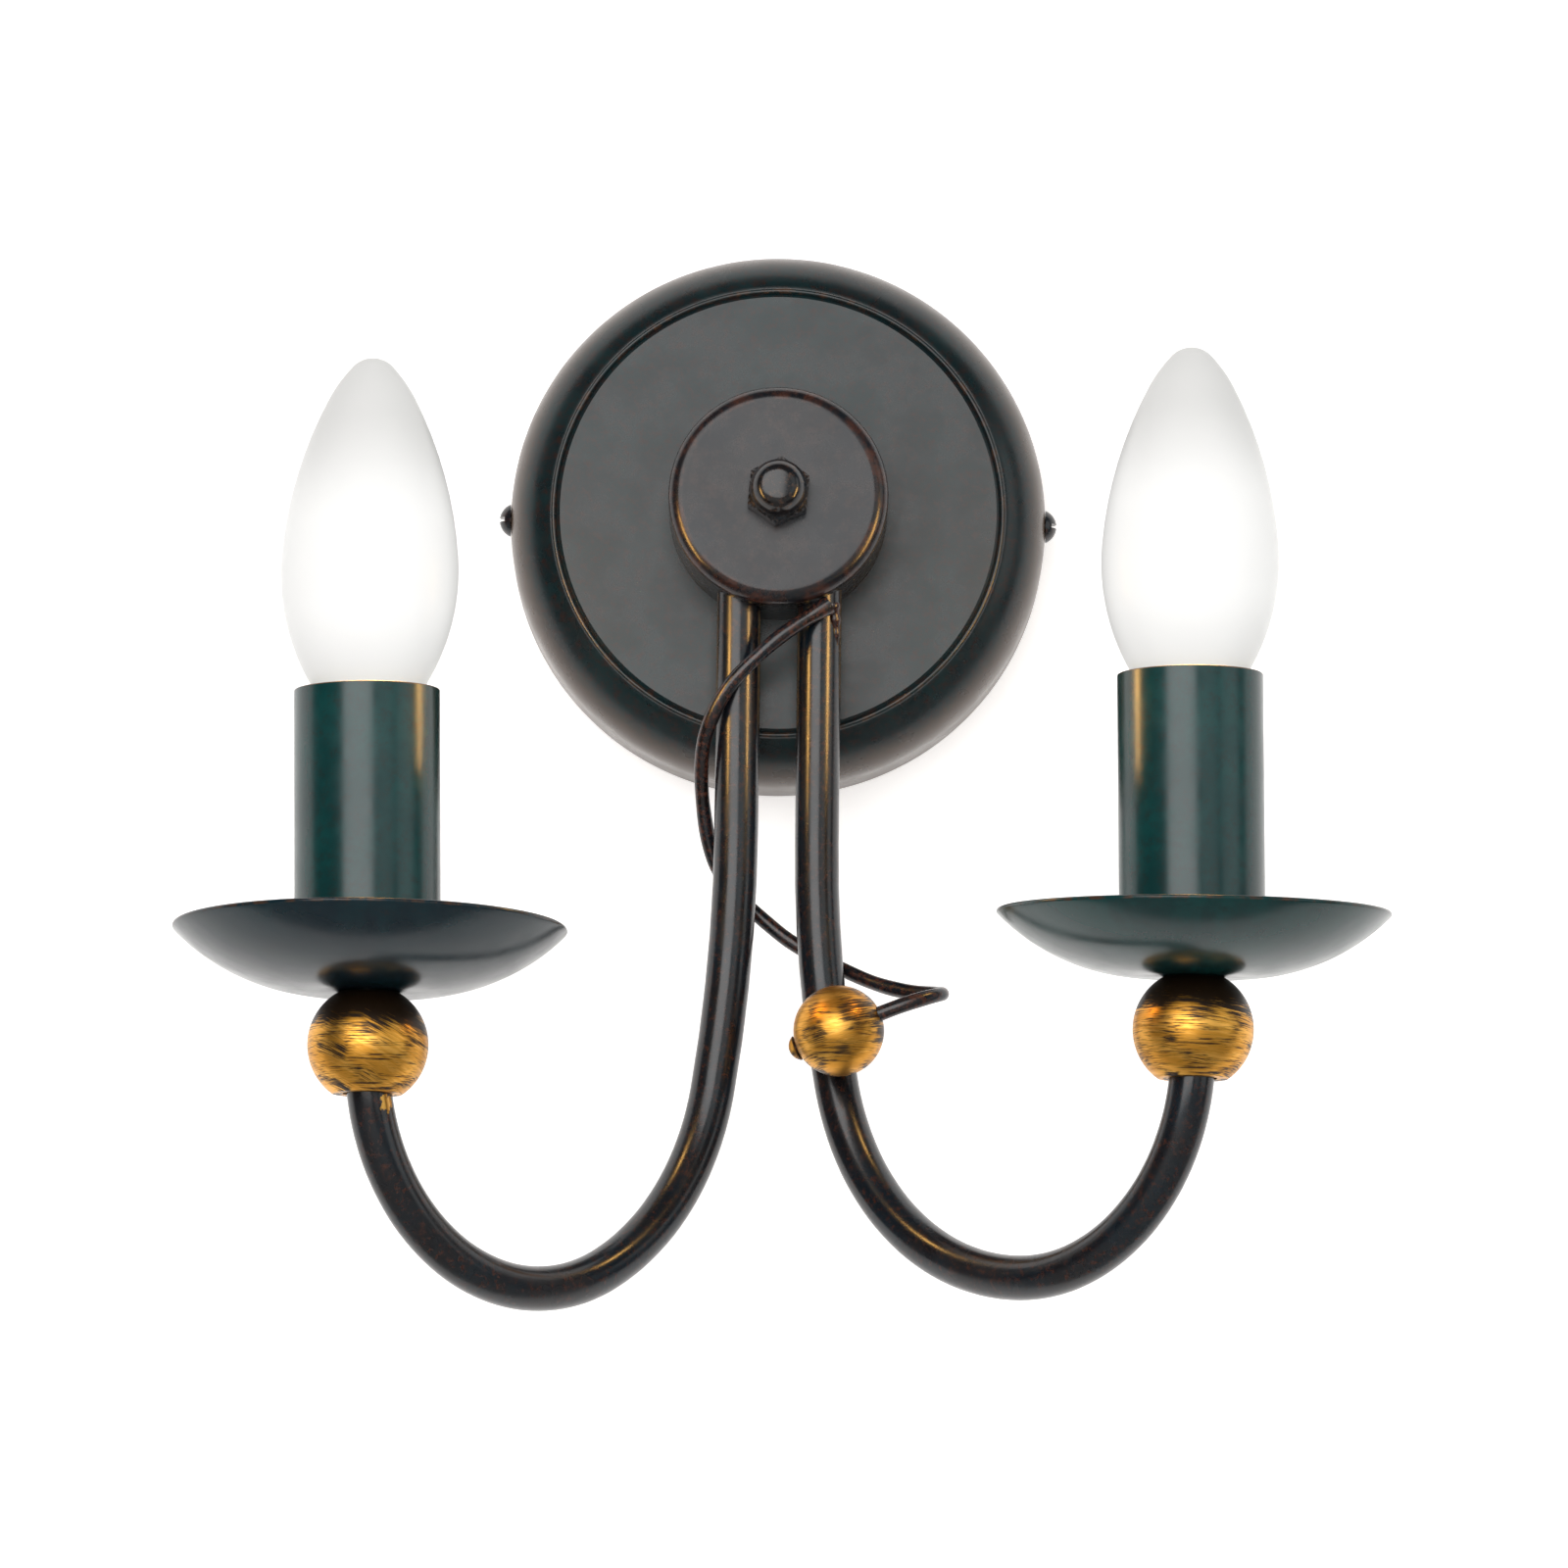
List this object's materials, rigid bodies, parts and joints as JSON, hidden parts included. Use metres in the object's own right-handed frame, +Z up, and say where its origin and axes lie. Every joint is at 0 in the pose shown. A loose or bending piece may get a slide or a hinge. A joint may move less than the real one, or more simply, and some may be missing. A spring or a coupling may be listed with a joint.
{
  "type": "double arm wall sconce",
  "caption": "Wall light with a round canopy, curved tube arms, drip dishes, metal candle sleeves, frosted candle bulbs and a thin curled rod with a ball.",
  "frame": {"origin": "centre of the canopy on the wall plane", "axes": "+Z up, +Y into the wall, so the light stands out from the wall towards -Y, +X to the right for a person who faces it"},
  "size_m": [0.2414, 0.1494, 0.2255],
  "materials": {
    "bronze": "satin antiqued bronze paint over steel",
    "canopy_bronze": "satin bronze-grey paint over spun steel",
    "dish_bronze": "gloss dark bronze paint",
    "sleeve_bronze": "satin dark bronze with fine turned lines",
    "gold_leaf": "brushed gold leaf",
    "nut_bronze": "gloss dark bronze paint with gold glints",
    "zinc_steel": "zinc plated",
    "contact_brass": "plain brass",
    "black_plastic": "moulded black",
    "ceramic": "white glazed ceramic",
    "block_plastic": "white moulded plastic",
    "black_rubber": "plain rubber",
    "brown_insulation": "smooth wire insulation",
    "blue_insulation": "smooth wire insulation",
    "earth_insulation": "smooth green and yellow wire insulation",
    "frosted_glass": "satin frosted",
    "clear_glass": "clear",
    "black_glass": "black glass",
    "nickel": "nickel plated",
    "tungsten": "drawn wire"
  },
  "bodies": {
    "fixture": {"wall_bracket": "zinc_steel", "side_screws": "bronze", "canopy": "canopy_bronze", "hub_cup": "canopy_bronze", "hub_stud": "zinc_steel", "lock_nut": "zinc_steel", "lock_washer": "zinc_steel", "cap_nut": "nut_bronze", "earth_screw": "zinc_steel", "earth_wire": "earth_insulation", "terminal_block": "block_plastic", "terminal_barrels": "contact_brass", "clamp_screws": "zinc_steel", "block_screws": "zinc_steel", "wire_grommets": "black_rubber", "curled_rod": "bronze", "rod_ball": "gold_leaf", "arm_left": "bronze", "candle_ball_left": "gold_leaf", "drip_dish_left": "dish_bronze", "dish_nut_left": "zinc_steel", "holder_base_left": "black_plastic", "centre_contact_left": "contact_brass", "screw_shell_left": "contact_brass", "holder_skirt_left": "black_plastic", "contact_carrier_left": "ceramic", "holder_screws_left": "zinc_steel", "live_wire_left": "brown_insulation", "neutral_wire_left": "blue_insulation", "arm_right": "bronze", "candle_ball_right": "gold_leaf", "drip_dish_right": "dish_bronze", "dish_nut_right": "zinc_steel", "holder_base_right": "black_plastic", "centre_contact_right": "contact_brass", "screw_shell_right": "contact_brass", "holder_skirt_right": "black_plastic", "contact_carrier_right": "ceramic", "holder_screws_right": "zinc_steel", "live_wire_right": "brown_insulation", "neutral_wire_right": "blue_insulation"},
    "bulb_left": {"bulb_glass_left": "frosted_glass", "bulb_cap_left": "nickel", "bulb_insulator_left": "black_glass", "bulb_contact_left": "zinc_steel", "bulb_stem_left": "clear_glass", "bulb_filament_left": "tungsten"},
    "sleeve_left": {"candle_sleeve_left": "sleeve_bronze"},
    "bulb_right": {"bulb_glass_right": "frosted_glass", "bulb_cap_right": "nickel", "bulb_insulator_right": "black_glass", "bulb_contact_right": "zinc_steel", "bulb_stem_right": "clear_glass", "bulb_filament_right": "tungsten"},
    "sleeve_right": {"candle_sleeve_right": "sleeve_bronze"}
  },
  "joints": [
    {"name": "bulb_left_lift", "type": "slide", "parent": "fixture", "child": "bulb_left", "axis": [0, 0, 1], "range_m": [0, 0.125]},
    {"name": "sleeve_left_lift", "type": "slide", "parent": "fixture", "child": "sleeve_left", "axis": [0, 0, 1], "range_m": [0, 0.0625]},
    {"name": "bulb_right_lift", "type": "slide", "parent": "fixture", "child": "bulb_right", "axis": [0, 0, 1], "range_m": [0, 0.125]},
    {"name": "sleeve_right_lift", "type": "slide", "parent": "fixture", "child": "sleeve_right", "axis": [0, 0, 1], "range_m": [0, 0.0625]}
  ],
  "couplings": [
    {"joint": "sleeve_left_lift", "follows": "bulb_left_lift", "ratio": 0.5},
    {"joint": "sleeve_right_lift", "follows": "bulb_right_lift", "ratio": 0.5}
  ]
}
